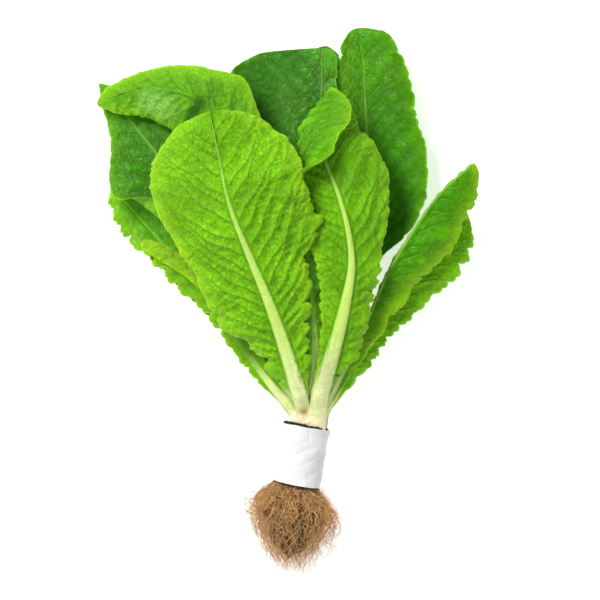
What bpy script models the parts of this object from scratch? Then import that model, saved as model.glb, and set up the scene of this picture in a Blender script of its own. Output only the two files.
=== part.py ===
"""A living head of romaine lettuce lying on its side: leaves, crown, growing plug, paper sleeve and roots.

The tables are in millimetres from the crown's centre, with +Y from the crown towards the leaf tips, +X to the
right seen from above, and Z as the height above the floor. The leaves are laid one on another from the lowest
up. At the end the whole head is moved so that the centre of its box stands over the origin.
"""

import math
from dataclasses import dataclass, field

import bmesh
import bpy
import numpy as np
from mathutils import Vector

MM = 0.001
HEAD = "romaine_lettuce_head"

# Growing plug, sleeve and roots: turned about an axis that leans from the head's own line.
ROOT_LEAN = math.radians(-10)
SLEEVE_RADIUS = 17.5
SLEEVE_WALL = 0.6
SLEEVE_LENGTH = 41
FIT_GAP = 0.35
PLUG_RADIUS = SLEEVE_RADIUS - SLEEVE_WALL - FIT_GAP
PLUG_TOP = -4.5
PLUG_LENGTH = 43
PLUG_DIMPLE = 7
CROWN_TOP = 5.8
CROWN_TOP_RADIUS = 9
CROWN_RADIUS = 12.5
STEM_RADIUS = 6.5
AXIS_HEIGHT = SLEEVE_RADIUS
ROOT_LENGTH = 60
ROOT_WIDTH = 30
ROOT_HEIGHT = 24
ROOT_NECK = 0.54
ROOT_WIDEST = 0.34
ROOT_END = 0.3
ROOT_DRIFT = 4
ROOT_SIDES = 20
ROOT_RINGS = 8
ROOT_END_X = -2
TURN_STEPS = 32

# Leaves.
ROWS = 16
COLUMNS = 8
TIP_CROWDING = 1.5
BLADE = 1.2
RIB = 3.6
RIB_ENDS = 0.55
TIP_LEFT = 0.05
SECTION_STEPS = 48

# Laying the leaves on one another.
CELL = 4.0
LAY_GAP = 2.2
DENSE = 4
LAY_ROUNDS = 40


@dataclass
class Leaf:
    """One leaf. A station is (x, y, height, reach to the left, reach to the right) seen from above, base first.

    left and right are each half-blade's slope in degrees at the midrib and at the margin. tip is the length
    over which the blade rounds off.
    turn_over is (side, from, to, start, start at the tip, width, angle): over that stretch of the leaf, that
    half-blade comes to bend over by the angle, from that share of its reach outwards.
    """

    name: str
    stations: list
    tip: float
    left: tuple
    right: tuple
    turn_over: tuple = ()
    colour: tuple = (0.10, 0.30, 0.03)
    lift: np.ndarray = field(default=None, repr=False)


REAR_GREEN = (0.06, 0.22, 0.02)
MID_GREEN = (0.10, 0.32, 0.03)
FRONT_GREEN = (0.20, 0.48, 0.07)

# From the lowest leaf to the one on top.
LEAVES = [
    Leaf(
        "leaf_rear_middle",
        [
            (2, 7, 8.2, 3.5, 3.5),
            (3, 45, 4, 14, 14),
            (4, 85, 0, 24, 24),
            (6, 130, 0, 30, 30),
            (9, 180, 0, 30, 28),
            (11, 225, 2, 24, 20),
            (11, 263, 6, 16, 11),
        ],
        tip=22,
        left=(-4, 12),
        right=(-4, 12),
        colour=REAR_GREEN,
    ),
    Leaf(
        "leaf_rear_left",
        [
            (-5.5, 8, 8.2, 3, 3),
            (-20, 45, 4, 10, 11),
            (-36, 85, 0, 16, 22),
            (-56, 125, 0, 20, 27),
            (-77, 163, 0, 22, 25),
            (-92, 190, 2, 20, 20),
        ],
        tip=24,
        left=(0, 10),
        right=(0, 10),
        colour=REAR_GREEN,
    ),
    Leaf(
        "leaf_rear_right",
        [
            (9.6, 6.2, 7.8, 2.4, 2.4),
            (21, 45, 3, 7, 9),
            (28, 80, 2, 12, 13),
            (33, 108, 1, 13, 13),
            (36, 130, 2, 10, 10),
        ],
        tip=16,
        left=(0, 12),
        right=(0, 12),
        colour=REAR_GREEN,
    ),
    Leaf(
        "leaf_right_tall",
        [
            (7.5, 5.8, 13, 3, 3),
            (14, 27, 14, 6, 6),
            (20, 49, 13, 9, 9),
            (33, 98, 10, 14, 13),
            (37, 119, 9, 19, 16),
            (41, 140, 9, 24, 34),
            (42, 157, 9, 27, 43),
            (42, 177, 9, 30, 44),
            (39, 217, 13, 27, 39),
            (37, 252, 20, 18, 31),
            (33, 275, 24, 13, 20),
        ],
        tip=12,
        left=(10, 30),
        right=(8, 32),
        colour=REAR_GREEN,
    ),
    Leaf(
        "leaf_back_middle",
        [
            (0.5, 7, 13, 3.2, 3.2),
            (0, 63, 14, 15, 14),
            (1, 119, 14, 34, 20),
            (4, 168, 16, 52, 22),
            (6, 211, 18, 62, 20),
            (8, 237, 21, 66, 16),
            (8, 250, 22, 62, 15),
            (8, 261, 23, 34, 12),
        ],
        tip=5,
        left=(6, 24),
        right=(8, 24),
        colour=REAR_GREEN,
    ),
    Leaf(
        "leaf_left_lower",
        [
            (-6.8, 9.2, 12.8, 2.8, 2.8),
            (-32, 41, 14, 7, 9),
            (-70, 86, 15, 10, 22),
            (-101, 121, 16, 14, 28),
            (-123, 145, 17, 15, 24),
            (-139, 163, 18, 7, 14),
        ],
        tip=12,
        left=(4, 24),
        right=(4, 18),
        colour=REAR_GREEN,
    ),
    Leaf(
        "leaf_left_outer",
        [
            (-13, 7, 14.5, 2.6, 2.6),
            (-28, 25, 19, 5, 6),
            (-49, 53, 23, 8, 13),
            (-68, 80, 24, 9, 19),
            (-86, 101, 24, 10, 22),
            (-104, 116, 24, 9, 22),
            (-119, 125, 22, 4, 10),
        ],
        tip=9,
        left=(-8, -24),
        right=(4, 14),
        turn_over=("right", 0.5, 0.66, 0.35, 0.2, 0.3, 165),
        colour=MID_GREEN,
    ),
    Leaf(
        "leaf_right_outer",
        [
            (10.5, 5.5, 17.5, 2.8, 2.8),
            (29, 38, 17, 6, 9),
            (47, 65, 17, 9, 13),
            (62, 88, 17, 12, 19),
            (80, 112, 18, 15, 25),
            (97, 132, 20, 15, 18),
            (109, 147, 22, 10, 8),
        ],
        tip=12,
        left=(-4, -10),
        right=(-2, -18),
        colour=MID_GREEN,
    ),
    Leaf(
        "leaf_left_middle",
        [
            (-8.2, 9, 17.6, 2.8, 2.8),
            (-28, 49, 28, 10, 11),
            (-56, 108, 34, 20, 24),
            (-84, 154, 36, 34, 28),
            (-108, 187, 35, 41, 26),
            (-124, 207, 32, 20, 20),
            (-148, 236, 28, 3, 4),
        ],
        tip=16,
        left=(2, 10),
        right=(6, 16),
        turn_over=("left", 0.74, 0.66, 0.7, 0.7, 0.12, 160),
        colour=REAR_GREEN,
    ),
    Leaf(
        "leaf_heart_back",
        [
            (0.3, 7.1, 17.7, 3.4, 3.4),
            (-3, 45, 27, 10, 10),
            (-8, 85, 36, 18, 18),
            (-16, 125, 44, 22, 22),
            (-22, 160, 50, 18, 18),
        ],
        tip=22,
        left=(8, 30),
        right=(8, 30),
        colour=MID_GREEN,
    ),
    Leaf(
        "leaf_right_folded",
        [
            (8.3, 5.7, 22.4, 2.8, 2.8),
            (22, 32, 27, 4, 7),
            (36, 60, 31, 5, 13),
            (46, 84, 34, 6, 18),
            (56, 106, 37, 7, 26),
            (70, 129, 41, 8, 32),
            (89, 156, 46, 8, 29),
            (115, 180, 46, 5, 14),
        ],
        tip=16,
        left=(-60, -110),
        right=(14, -50),
        colour=MID_GREEN,
    ),
    Leaf(
        "leaf_left_upper",
        [
            (-7, 8.4, 22.6, 2.8, 2.8),
            (-19, 63, 44, 13, 13),
            (-34, 119, 56, 22, 24),
            (-48, 168, 64, 32, 28),
            (-60, 203, 68, 36, 29),
            (-82, 226, 66, 36, 23),
            (-114, 231, 56, 24, 14),
            (-149, 221, 44, 7, 7),
        ],
        tip=14,
        left=(-4, -42),
        right=(-2, -20),
        colour=MID_GREEN,
    ),
    Leaf(
        "leaf_heart_front",
        [
            (0.7, 7.5, 22.5, 3, 3),
            (4, 36, 31, 5, 7),
            (3, 66, 42, 12, 12),
            (0, 100, 50, 16, 16),
            (-4, 130, 56, 14, 14),
        ],
        tip=20,
        left=(6, 24),
        right=(6, 24),
        colour=REAR_GREEN,
    ),
    Leaf(
        "leaf_front_middle",
        [
            (4.8, 6.2, 27.4, 3.8, 3.8),
            (8, 22, 33, 6, 7),
            (17, 51, 46, 10, 17),
            (25, 83, 56, 18, 19),
            (29, 110, 61, 25, 22),
            (27, 130, 63, 30, 28),
            (20, 157, 62, 34, 39),
            (10, 184, 59, 42, 38),
            (7, 203, 56, 49, 31),
            (10, 220, 52, 33, 25),
            (15, 233, 49, 20, 18),
        ],
        tip=12,
        left=(-2, -14),
        right=(-4, -30),
        turn_over=("left", 0.72, 0.79, 0.34, 0.05, 0.12, 176),
        colour=FRONT_GREEN,
    ),
    Leaf(
        "leaf_front_left",
        [
            (-4.2, 7.8, 27.6, 4, 4),
            (-15, 43, 48, 15, 15),
            (-29, 83, 66, 41, 34),
            (-42, 114, 76, 43, 53),
            (-57, 153, 84, 52, 58),
            (-64, 186, 86, 56, 58),
            (-70, 215, 82, 56, 58),
        ],
        tip=54,
        left=(-4, -30),
        right=(-2, -30),
        colour=FRONT_GREEN,
    ),
]


def clear_scene():
    for old in list(bpy.data.objects):
        bpy.data.objects.remove(old)


def collection_for_head():
    made = bpy.data.collections.new(HEAD)
    bpy.context.scene.collection.children.link(made)
    return made


def material(name, colour, roughness):
    made = bpy.data.materials.new(name)
    made.use_nodes = True
    shader = made.node_tree.nodes["Principled BSDF"]
    shader.inputs["Base Color"].default_value = (*colour, 1)
    shader.inputs["Roughness"].default_value = roughness
    shader.inputs["Metallic"].default_value = 0
    made.diffuse_color = (*colour, 1)
    return made


def mesh_object(name, bm, finish, collection, parent):
    mesh = bpy.data.meshes.new(name)
    bm.to_mesh(mesh)
    bm.free()
    mesh.shade_smooth()
    mesh.materials.append(finish)
    made = bpy.data.objects.new(name, mesh)
    made.parent = parent
    collection.objects.link(made)
    return made


def empty(name, collection, parent=None):
    made = bpy.data.objects.new(name, None)
    made.parent = parent
    collection.objects.link(made)
    return made


# ---- leaf surface -------------------------------------------------------------------------------------------


def through(rows, t):
    """A smooth curve through the rows of a table, spaced by the distance between their first three numbers."""
    rows = np.array(rows, float)
    steps = np.linalg.norm(np.diff(rows[:, :3], axis=0), axis=1)
    knots = np.concatenate([[0], np.cumsum(steps)])
    length = knots[-1]
    slopes = np.gradient(rows, knots, axis=0)
    at = np.clip(t, 0, 1) * length
    k = np.clip(np.searchsorted(knots, at, side="right") - 1, 0, len(rows) - 2)
    span = knots[k + 1] - knots[k]
    s = ((at - knots[k]) / span)[:, None]
    span = span[:, None]
    placed = (
        (2 * s**3 - 3 * s**2 + 1) * rows[k]
        + (s**3 - 2 * s**2 + s) * span * slopes[k]
        + (3 * s**2 - 2 * s**3) * rows[k + 1]
        + (s**3 - s**2) * span * slopes[k + 1]
    )
    return placed, length


def smooth_step(low, high, x):
    """From 0 at low to 1 at high, which may be the smaller of the two."""
    t = np.clip((x - low) / (high - low), 0, 1)
    return t * t * (3 - 2 * t)


def rounded_tip(leaf, t, length):
    """The share of its reach that the blade keeps as it rounds off towards the tip."""
    past = np.clip((t * length - (length - leaf.tip)) / leaf.tip, 0, 1)
    return np.maximum(np.sqrt(1 - past**2), TIP_LEFT)


def across(leaf, t, v, reach):
    """How far sideways and upwards a point lies from the midrib, along the blade's curved section."""
    right = (v > 0)[:, None]
    share = np.linspace(0, 1, SECTION_STEPS + 1)[None, :]
    start = np.where(right, leaf.right[0], leaf.left[0])
    end = np.where(right, leaf.right[1], leaf.left[1])
    slope = start + (end - start) * share
    if leaf.turn_over:
        side, low, high, begin, begin_tip, width, angle = leaf.turn_over
        on_side = right == (side == "right")
        amount = smooth_step(low, high, t)[:, None]
        begin = begin + (begin_tip - begin) * np.clip((t - high) / (1 - high), 0, 1)[:, None]
        slope = slope + np.where(on_side, angle * amount * smooth_step(begin, begin + width, share), 0)
    slope = np.radians(slope)
    middle = (slope[:, 1:] + slope[:, :-1]) / 2
    zero = np.zeros((len(v), 1))
    out = np.hstack([zero, np.cumsum(np.cos(middle), axis=1)]) / SECTION_STEPS
    up = np.hstack([zero, np.cumsum(np.sin(middle), axis=1)]) / SECTION_STEPS
    place = np.abs(v) * SECTION_STEPS
    k = np.minimum(place.astype(int), SECTION_STEPS - 1)
    part = place - k
    every = np.arange(len(v))
    out = out[every, k] * (1 - part) + out[every, k + 1] * part
    up = up[every, k] * (1 - part) + up[every, k + 1] * part
    return np.sign(v) * out * reach, up * reach


def lift_at(leaf, t, v):
    """The leaf's lift off the leaves below, read from its grid of lifts."""
    if leaf.lift is None:
        return np.zeros(len(t))
    row = np.clip(t, 0, 1) * ROWS
    column = (np.clip(v, -1, 1) + 1) / 2 * COLUMNS
    i = np.minimum(row.astype(int), ROWS - 1)
    j = np.minimum(column.astype(int), COLUMNS - 1)
    a = smooth_step(0, 1, row - i)
    b = smooth_step(0, 1, column - j)
    low = leaf.lift[i, j] * (1 - b) + leaf.lift[i, j + 1] * b
    high = leaf.lift[i + 1, j] * (1 - b) + leaf.lift[i + 1, j + 1] * b
    return low * (1 - a) + high * a


def leaf_points(leaf, t, v):
    """Points of a leaf in millimetres: t runs 0 to 1 from base to tip, and v -1 to 1 from left to right margin."""
    t = np.asarray(t, float).ravel()
    v = np.asarray(v, float).ravel()
    row, length = through(leaf.stations, t)
    step = 0.002
    ahead, _ = through(leaf.stations, np.minimum(t + step, 1))
    behind, _ = through(leaf.stations, np.maximum(t - step, 0))
    along = (ahead - behind)[:, :3]
    along /= np.linalg.norm(along, axis=1)[:, None]
    side = np.cross(along, [0, 0, 1.0])
    side /= np.linalg.norm(side, axis=1)[:, None]
    up = np.cross(side, along)
    reach = np.where(v > 0, row[:, 4], row[:, 3]) * rounded_tip(leaf, t, length)
    out, rise = across(leaf, t, v, reach)
    placed = row[:, :3] + side * out[:, None] + up * rise[:, None]
    placed[:, 2] += lift_at(leaf, t, v)
    placed[:, 2] = np.maximum(placed[:, 2], thickness_at(t, v) / 2)
    return placed


def rib_share(t, v):
    """1 on the midrib at the base, falling to 0 towards the margins and the tip."""
    wide = 0.55 - 0.35 * np.clip(t, 0, 1)
    return np.clip(1 - np.abs(v) / wide, 0, 1) * np.clip(1 - t / RIB_ENDS, 0, 1)


def thickness_at(t, v):
    return BLADE + (RIB - BLADE) * rib_share(t, v)


def crowded(t):
    """Rows from base to tip, closer together at the tip."""
    return 1 - (1 - t) ** TIP_CROWDING


# ---- laying the leaves on one another -----------------------------------------------------------------------


class Pile:
    """The height of the pile so far, on square cells seen from above."""

    def __init__(self):
        self.low = np.array([-220.0, -40.0])
        self.height = np.zeros((110, 90))

    def cells(self, points):
        index = np.floor((points[:, :2] - self.low) / CELL).astype(int)
        last = np.array(self.height.shape) - 2
        return np.clip(index, 1, last)

    def under(self, points):
        """The highest point of the pile in the cell of each point and the eight around it."""
        index = self.cells(points)
        around = [self.height[index[:, 0] + i, index[:, 1] + j] for i in (-1, 0, 1) for j in (-1, 0, 1)]
        return np.max(around, axis=0)

    def add(self, points, half_thickness):
        index = self.cells(points)
        np.maximum.at(self.height, (index[:, 0], index[:, 1]), points[:, 2] + half_thickness)


def dense_grid():
    t = np.linspace(0, 1, ROWS * DENSE + 1)
    v = np.linspace(-1, 1, COLUMNS * DENSE + 1)
    return (grid.ravel() for grid in np.meshgrid(t, v, indexing="ij"))


def blurred(grid):
    edged = np.pad(grid, 1, mode="edge")
    return (
        edged[:-2, 1:-1] + edged[2:, 1:-1] + edged[1:-1, :-2] + edged[1:-1, 2:] + 2 * edged[1:-1, 1:-1]
    ) / 6


def lay(leaf, pile):
    """Lifts the leaf until it clears the pile, as smoothly as that allows, and adds it to the pile."""
    leaf.lift = None
    t, v = dense_grid()
    points = leaf_points(leaf, t, v)
    half = thickness_at(t, v) / 2
    short = pile.under(points) + LAY_GAP - (points[:, 2] - half)
    short = np.where(pile.under(points) > 0, short, 0) * smooth_step(0.02, 0.12, t)
    need = np.zeros((ROWS + 1, COLUMNS + 1))
    i = np.rint(t * ROWS).astype(int)
    j = np.rint((v + 1) / 2 * COLUMNS).astype(int)
    np.maximum.at(need, (i, j), short)
    lift = need.copy()
    for _ in range(LAY_ROUNDS):
        lift = np.maximum(need, blurred(lift))
        lift[0] = 0
    leaf.lift = lift
    pile.add(leaf_points(leaf, t, v), half)


def lay_all(leaves):
    pile = Pile()
    for leaf in leaves:
        lay(leaf, pile)


# ---- the pieces ---------------------------------------------------------------------------------------------


def add_leaf(leaf, collection, parent):
    """An open sheet with a Solidify that is thicker along the midrib. Its origin is at the foot of its stalk."""
    foot = Vector(leaf.stations[0][:3]) * MM
    bm = bmesh.new()
    bmesh.ops.create_grid(bm, x_segments=COLUMNS, y_segments=ROWS, size=1)
    flat = np.array([vert.co[:] for vert in bm.verts])
    t = crowded((flat[:, 1] + 1) / 2)
    v = flat[:, 0]
    for vert, place in zip(bm.verts, leaf_points(leaf, t, v)):
        vert.co = Vector(place) * MM - foot
    bm.normal_update()
    made = mesh_object(leaf.name, bm, material(leaf.name, leaf.colour, 0.45), collection, parent)
    made.location = foot
    group = made.vertex_groups.new(name="thickness")
    for index, share in enumerate(thickness_at(t, v) / RIB):
        group.add([index], float(share), "REPLACE")
    solid = made.modifiers.new("sheet", "SOLIDIFY")
    solid.thickness = RIB * MM
    solid.offset = 0
    solid.vertex_group = group.name
    return made


def turned(name, profile, finish, collection, parent):
    """A turned piece about the Y axis of its parent. The profile is (radius, along), ends on the axis."""
    bm = bmesh.new()
    verts = [bm.verts.new((radius * MM, along * MM, 0)) for radius, along in profile]
    for a, b in zip(verts, verts[1:]):
        bm.edges.new((a, b))
    made = mesh_object(name, bm, finish, collection, parent)
    screw = made.modifiers.new("turn", "SCREW")
    screw.axis = "Y"
    screw.steps = TURN_STEPS
    screw.render_steps = TURN_STEPS
    screw.use_merge_vertices = True
    screw.merge_threshold = 0.00001
    screw.use_normal_calculate = True
    return made


def add_crown(collection, parent):
    """The short stem: a pale cone that the leaf stalks spring from, with its foot sunk in the plug."""
    bottom = PLUG_TOP - PLUG_DIMPLE + FIT_GAP
    profile = [
        (0, CROWN_TOP),
        (CROWN_TOP_RADIUS, CROWN_TOP),
        (11, 3),
        (CROWN_RADIUS, -1),
        (11.5, PLUG_TOP + 1),
        (STEM_RADIUS, PLUG_TOP + FIT_GAP),
        (STEM_RADIUS - 1, bottom),
        (0, bottom),
    ]
    return turned("crown", profile, material("crown", (0.80, 0.80, 0.50), 0.5), collection, parent)


def add_plug(collection, parent):
    """The peat plug, with a hollow in its top for the stem."""
    bottom = PLUG_TOP - PLUG_LENGTH
    profile = [
        (0, PLUG_TOP - PLUG_DIMPLE),
        (STEM_RADIUS - 0.5, PLUG_TOP - PLUG_DIMPLE),
        (STEM_RADIUS + 1, PLUG_TOP - 0.6),
        (PLUG_RADIUS - 2.5, PLUG_TOP + 0.4),
        (PLUG_RADIUS, PLUG_TOP - 1),
        (PLUG_RADIUS, bottom + 2),
        (PLUG_RADIUS - 2, bottom),
        (0, bottom),
    ]
    finish = material("growing_plug", (0.05, 0.03, 0.015), 0.95)
    return turned("growing_plug", profile, finish, collection, parent)


def add_sleeve(collection, parent):
    """The paper tube round the plug: an open cylinder side with Solidify inwards."""
    bm = bmesh.new()
    top = PLUG_TOP - 1
    ends = [(SLEEVE_RADIUS, top), (SLEEVE_RADIUS, top - SLEEVE_LENGTH)]
    verts = [bm.verts.new((radius * MM, along * MM, 0)) for radius, along in ends]
    bm.edges.new(verts)
    finish = material("paper_sleeve", (0.85, 0.86, 0.86), 0.8)
    made = mesh_object("paper_sleeve", bm, finish, collection, parent)
    screw = made.modifiers.new("turn", "SCREW")
    screw.axis = "Y"
    screw.steps = TURN_STEPS
    screw.render_steps = TURN_STEPS
    screw.use_merge_vertices = True
    screw.merge_threshold = 0.00001
    wall = made.modifiers.new("wall", "SOLIDIFY")
    wall.thickness = SLEEVE_WALL * MM
    wall.offset = -1
    return made


def root_width(depth):
    """Share of the root mass's full width, from its neck at depth 0 to its lowest tips at 1."""
    flare = ROOT_NECK + (1 - ROOT_NECK) * smooth_step(0, ROOT_WIDEST, depth)
    taper = 1 - (1 - ROOT_END) * np.clip((depth - ROOT_WIDEST) / (1 - ROOT_WIDEST), 0, 1) ** 1.3
    return flare * taper


def add_roots(collection, parent):
    """The tangle of roots as one soft form, wider than high, flat where it lies on the floor."""
    bm = bmesh.new()
    bmesh.ops.create_cone(
        bm, cap_ends=True, cap_tris=False, segments=ROOT_SIDES, radius1=1, radius2=1, depth=1
    )
    rings = [edge for edge in bm.edges if abs(edge.verts[0].co.z - edge.verts[1].co.z) > 0.5]
    bmesh.ops.subdivide_edges(bm, edges=rings, cuts=ROOT_RINGS, use_grid_fill=True)
    top = PLUG_TOP - PLUG_LENGTH - FIT_GAP
    for vert in bm.verts:
        depth = 0.5 - vert.co.z
        width = float(root_width(depth))
        sideways = vert.co.x * width * ROOT_WIDTH + depth * ROOT_DRIFT
        height = max(-vert.co.y * width * ROOT_HEIGHT, -AXIS_HEIGHT)
        vert.co = Vector((sideways, top - depth * ROOT_LENGTH, height)) * MM
    finish = material("root_mass", (0.42, 0.24, 0.10), 0.9)
    return mesh_object("root_mass", bm, finish, collection, parent)


def stand_over_origin(head, collection):
    """Moves the head so that its box stands on z = 0 with its centre over the origin."""
    bpy.context.view_layer.update()
    graph = bpy.context.evaluated_depsgraph_get()
    corners = []
    for made in collection.objects:
        if made.type != "MESH":
            continue
        shown = made.evaluated_get(graph)
        mesh = shown.to_mesh()
        corners += [shown.matrix_world @ vert.co for vert in mesh.vertices]
        shown.to_mesh_clear()
    places = np.array(corners)
    low = places.min(axis=0)
    high = places.max(axis=0)
    head.location = (-(low[0] + high[0]) / 2, -(low[1] + high[1]) / 2, -low[2])


def main():
    clear_scene()
    collection = collection_for_head()
    head = empty("head", collection)
    root_end = empty("root_end", collection, head)
    root_end.location = (ROOT_END_X * MM, 0, AXIS_HEIGHT * MM)
    root_end.rotation_euler = (0, 0, ROOT_LEAN)
    add_crown(collection, root_end)
    add_plug(collection, root_end)
    add_sleeve(collection, root_end)
    add_roots(collection, root_end)
    lay_all(LEAVES)
    for leaf in LEAVES:
        add_leaf(leaf, collection, head)
    stand_over_origin(head, collection)


main()
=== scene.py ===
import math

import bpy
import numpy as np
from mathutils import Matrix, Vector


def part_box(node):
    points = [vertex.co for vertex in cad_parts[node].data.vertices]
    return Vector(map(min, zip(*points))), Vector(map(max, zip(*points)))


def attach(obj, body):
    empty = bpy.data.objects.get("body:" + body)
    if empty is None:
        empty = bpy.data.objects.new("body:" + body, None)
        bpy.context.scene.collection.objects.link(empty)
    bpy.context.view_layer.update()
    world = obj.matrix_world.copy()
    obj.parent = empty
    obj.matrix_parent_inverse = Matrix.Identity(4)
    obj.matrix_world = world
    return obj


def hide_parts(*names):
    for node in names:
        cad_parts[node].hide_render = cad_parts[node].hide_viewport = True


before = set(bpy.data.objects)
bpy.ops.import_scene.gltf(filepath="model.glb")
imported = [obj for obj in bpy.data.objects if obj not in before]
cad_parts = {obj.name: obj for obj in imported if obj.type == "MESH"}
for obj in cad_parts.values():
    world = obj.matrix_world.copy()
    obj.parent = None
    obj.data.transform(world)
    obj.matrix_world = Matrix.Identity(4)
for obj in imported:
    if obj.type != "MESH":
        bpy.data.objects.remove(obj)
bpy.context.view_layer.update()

# The looks of a living romaine lettuce head that lies on its side.
# The leaf tables and the laying of one leaf on another are those of the CAD model, in millimetres from the
# crown's centre, with +Y towards the leaf tips and Z as the height above the floor.

MM = 0.001

# ---- the CAD model's own sizes ----

ROOT_LEAN = math.radians(-10)
SLEEVE_RADIUS = 17.5
SLEEVE_LENGTH = 41
PLUG_TOP = -4.5
PLUG_LENGTH = 43
AXIS_HEIGHT = 17.5
ROOT_END_X = -2
ROOT_LENGTH = 60
ROOT_WIDTH = 30
ROOT_HEIGHT = 24
ROOT_NECK = 0.54
ROOT_WIDEST = 0.34
ROOT_END = 0.3
ROOT_DRIFT = 4
ROWS = 16
COLUMNS = 8
BLADE = 1.2
RIB = 3.6
RIB_ENDS = 0.55
TIP_LEFT = 0.05
SECTION_STEPS = 48
NEAR = 0.002
CELL = 4.0
LAY_GAP = 2.2
DENSE = 4
LAY_ROUNDS = 40
PILE_LOW = [-220.0, -40.0]
PILE_CELLS = (110, 90)


def srgb(red, green, blue):
    """A colour as seen on a screen, 0 to 255, as linear light."""
    parts = np.array([red, green, blue]) / 255
    return tuple(np.where(parts < 0.04045, parts / 12.92, ((parts + 0.055) / 1.055) ** 2.4))


FIRST_SEED = 11
COLOURS = ("inner", "outer", "margin", "pale")
FRONT_GRID = (310, 70)
HIDDEN_GRID = (130, 32)
# What a leaf's looks are unless its own entry says otherwise.
LOOKS = {
    "up": "inner",
    "slot": "leaf_dark",
    "inner": (66, 140, 8),
    "outer": (118, 186, 34),
    "margin": (146, 205, 34),
    # pale is the colour of a leaf's painted light.
    "pale": (150, 212, 84),
    "rib": (4.2, 3.0, 1.8, 0.6),
    "rib_fade": (0.35, 0.95, 0.35),
    "turn_over": (),
    "teeth": (),
    "bumps": (),
    # A leaf's painted light and painted shade, none unless its entry lists them.
    "light_and_shade_patches": (),
    "stain": 0.0,
    "shine": 0.35,
    "ruffle": 1.4,
    "blister": 1.2,
    "glow": 0.35,
    "grid": (250, 60),
}


class Leaf:
    """One leaf. A station is (x, y, height, reach to the left, reach to the right), base first.

    left and right are the blade's slope beside the midrib and at the margin, in degrees.
    up is the face that is seen from above: "inner", darker and glossy, or "outer", paler and matt.
    rib is the half-width of the midrib at the base, a fifth up, halfway and at 0.85 of the length.
    rib_fade is where the midrib's pale colour starts to fade, where it ends and what is left of it.
    turn_over is (side, from, to, start, start at the tip, width, angle) of a margin that folds over.
    teeth are (side, from, to, depth, length): lobes in the margin over that stretch of the leaf.
    bumps are (side, centre, width, depth): single broad bulges or dips of the margin.
    The painted light and shade are (t, v, reach in t, reach in v, amount): lit paler where the amount is
    above 0, shaded darker below.
    stain is how strong the brown spot on the stalk's foot is, and glow how yellow the margin is.
    grid is how many rows the fine sheet has, and how many columns on each side of the midrib.
    """

    def __init__(self, name, stations, tip, left, right, **looks):
        self.name = "leaf_" + name
        self.stations = stations
        self.tip = tip
        self.left = left
        self.right = right
        self.lift = None
        for key, value in {**LOOKS, **looks}.items():
            setattr(self, key, srgb(*value) if key in COLOURS else value)


def both_sides(*lobes):
    """A leaf's teeth where they are alike on its two margins."""
    return [("left", *lobes), ("right", *lobes)]
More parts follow.
